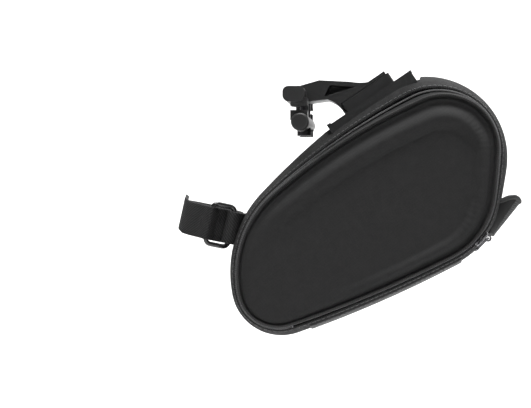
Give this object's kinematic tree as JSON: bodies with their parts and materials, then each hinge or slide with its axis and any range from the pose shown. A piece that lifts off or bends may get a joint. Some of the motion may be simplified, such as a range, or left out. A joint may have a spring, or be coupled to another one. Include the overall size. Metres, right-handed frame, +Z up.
{
  "type": "bicycle saddle bag",
  "caption": "Moulded clamshell saddle bag with a side zip, a slide-in base on a saddle rail clamp, a seat post strap and a rear light loop.",
  "frame": {"origin": "midway between the two saddle rails at the middle of the rail clamp", "axes": "+X to the rear of the bicycle, along the rails; +Y to its right, across the rails; +Z up"},
  "size_m": [0.2067, 0.0778, 0.1575],
  "materials": {
    "bracket_nylon": "satin moulded nylon with a fine grain",
    "brass": "turned brass",
    "black_steel": "black oxide, satin",
    "gusset_fabric": "coarse woven nylon",
    "shell_fabric": "fine weave laminated on a moulded shell, matte",
    "piping": "covered cord",
    "zip": "nylon coil on woven tape",
    "zip_metal": "gunmetal plate",
    "guard_fabric": "rubberised fabric",
    "base_plastic": "smooth moulded plastic",
    "steel_pin": "ground pin",
    "webbing": "diagonal twill webbing",
    "gloss_plastic": "polished acetal",
    "loop_fabric": "rubberised webbing",
    "lining": "brushed lining"
  },
  "bodies": {
    "bracket": {"bracket_bridge": "bracket_nylon", "nut_inserts": "brass"},
    "clamp": {"clamp_bar": "bracket_nylon", "clamp_bolts": "black_steel"},
    "bag": {"gusset_band": "gusset_fabric", "right_side_panel": "shell_fabric", "right_piping": "piping", "body_zip_chain": "zip", "zip_end_stops": "zip_metal", "hinge_strip": "gusset_fabric", "bottom_guard": "guard_fabric", "mount_base": "base_plastic", "backing_plate": "base_plastic", "base_screws": "black_steel", "latch_pin": "steel_pin", "strap_anchor": "gusset_fabric", "ring_keeper": "webbing", "strap_ring": "gloss_plastic", "seatpost_strap": "webbing", "light_loop": "loop_fabric", "inner_pocket": "lining"},
    "latch": {"release_latch": "base_plastic"},
    "strap_tail": {"strap_tail": "webbing"},
    "lid": {"left_side_panel": "shell_fabric", "lid_piping": "piping", "lid_zip_chain": "zip"},
    "slider": {"zip_slider": "zip_metal"},
    "pull": {"zip_pull": "zip_metal"}
  },
  "joints": [
    {"name": "clamp_open", "type": "slide", "parent": "bracket", "child": "clamp", "axis": [0, 0, -1], "range_m": [0, 0.003]},
    {"name": "bag_release", "type": "slide", "parent": "bracket", "child": "bag", "axis": [0.83, 0, 0.5577], "range_m": [0, 0.034]},
    {"name": "latch_press", "type": "hinge", "parent": "bag", "child": "latch", "pos_m": [0.06024, 0, 0.0154], "axis": [0, -1, 0], "range_deg": [0, 12], "stiffness_Nm_per_rad": 0.05},
    {"name": "lid_hinge", "type": "hinge", "parent": "bag", "child": "lid", "pos_m": [0.04511, -0.031, -0.10954], "axis": [0.9182, 0, 0.3962], "range_deg": [0, 80]},
    {"name": "slider_travel", "type": "hinge", "parent": "bag", "child": "slider", "pos_m": [0.07039, -0.031, -0.04731], "axis": [0, -1, 0], "range_deg": [0, 20]},
    {"name": "pull_swing", "type": "hinge", "parent": "slider", "child": "pull", "pos_m": [0.11014, -0.031, -0.07566], "axis": [0, -1, 0], "range_deg": [0, 140]},
    {"name": "strap_peel", "type": "hinge", "parent": "bag", "child": "strap_tail", "pos_m": [-0.05571, -0.01832, -0.06644], "axis": [0.2164, 0, 0.9763], "range_deg": [0, 100]}
  ]
}
